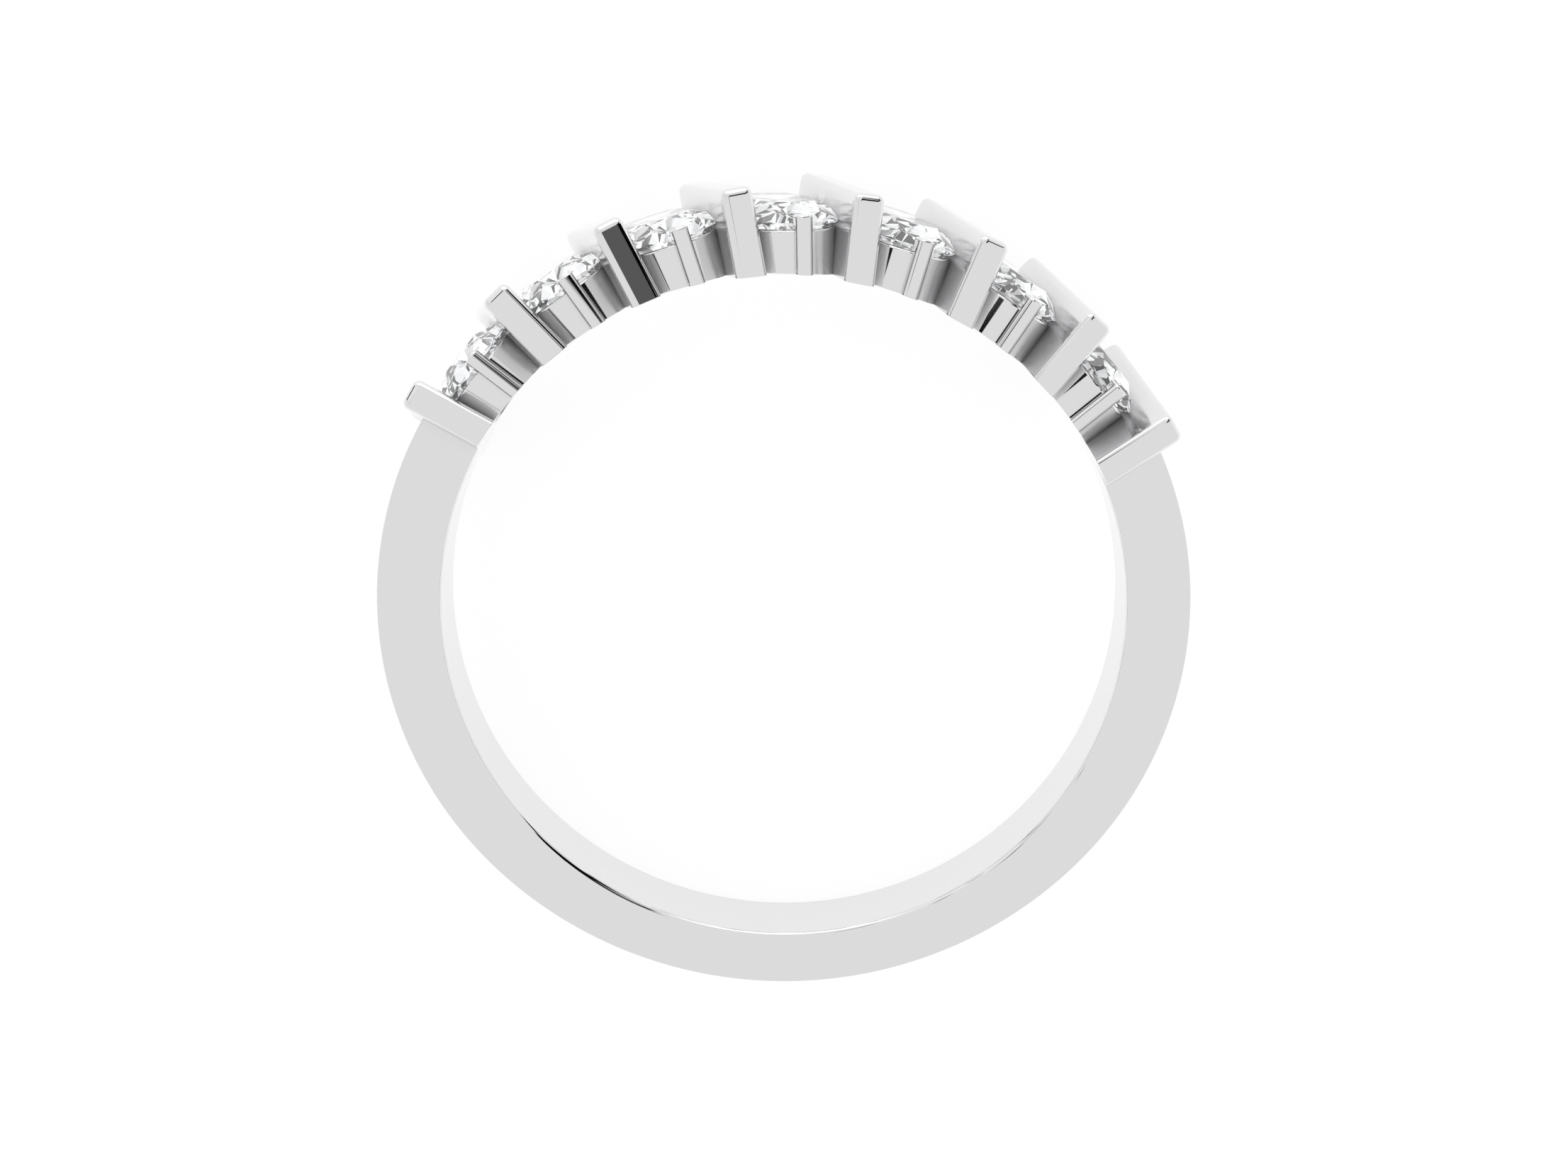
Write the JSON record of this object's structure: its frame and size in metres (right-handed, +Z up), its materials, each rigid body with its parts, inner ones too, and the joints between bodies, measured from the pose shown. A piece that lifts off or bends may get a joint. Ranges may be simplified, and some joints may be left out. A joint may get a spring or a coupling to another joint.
{
  "type": "finger ring",
  "caption": "White metal finger ring lying on its side, with a narrow shank and a wide open head of slanted bars with an oval stone between each pair.",
  "frame": {"origin": "middle of the part's underside, on the table that the ring lies on", "axes": "+Z up from the table, 6.6 degrees off the finger's axis; +Y towards the head with the stones; +X to the right of the head seen from above"},
  "size_m": [0.02, 0.0204, 0.0059],
  "materials": {
    "metal": "polished",
    "stone": "polished facets"
  },
  "bodies": {
    "root": {"ring_mount": "metal", "stone_1": "stone", "stone_2": "stone", "stone_3": "stone", "stone_4": "stone", "stone_5": "stone", "stone_6": "stone", "stone_7": "stone"}
  },
  "joints": []
}
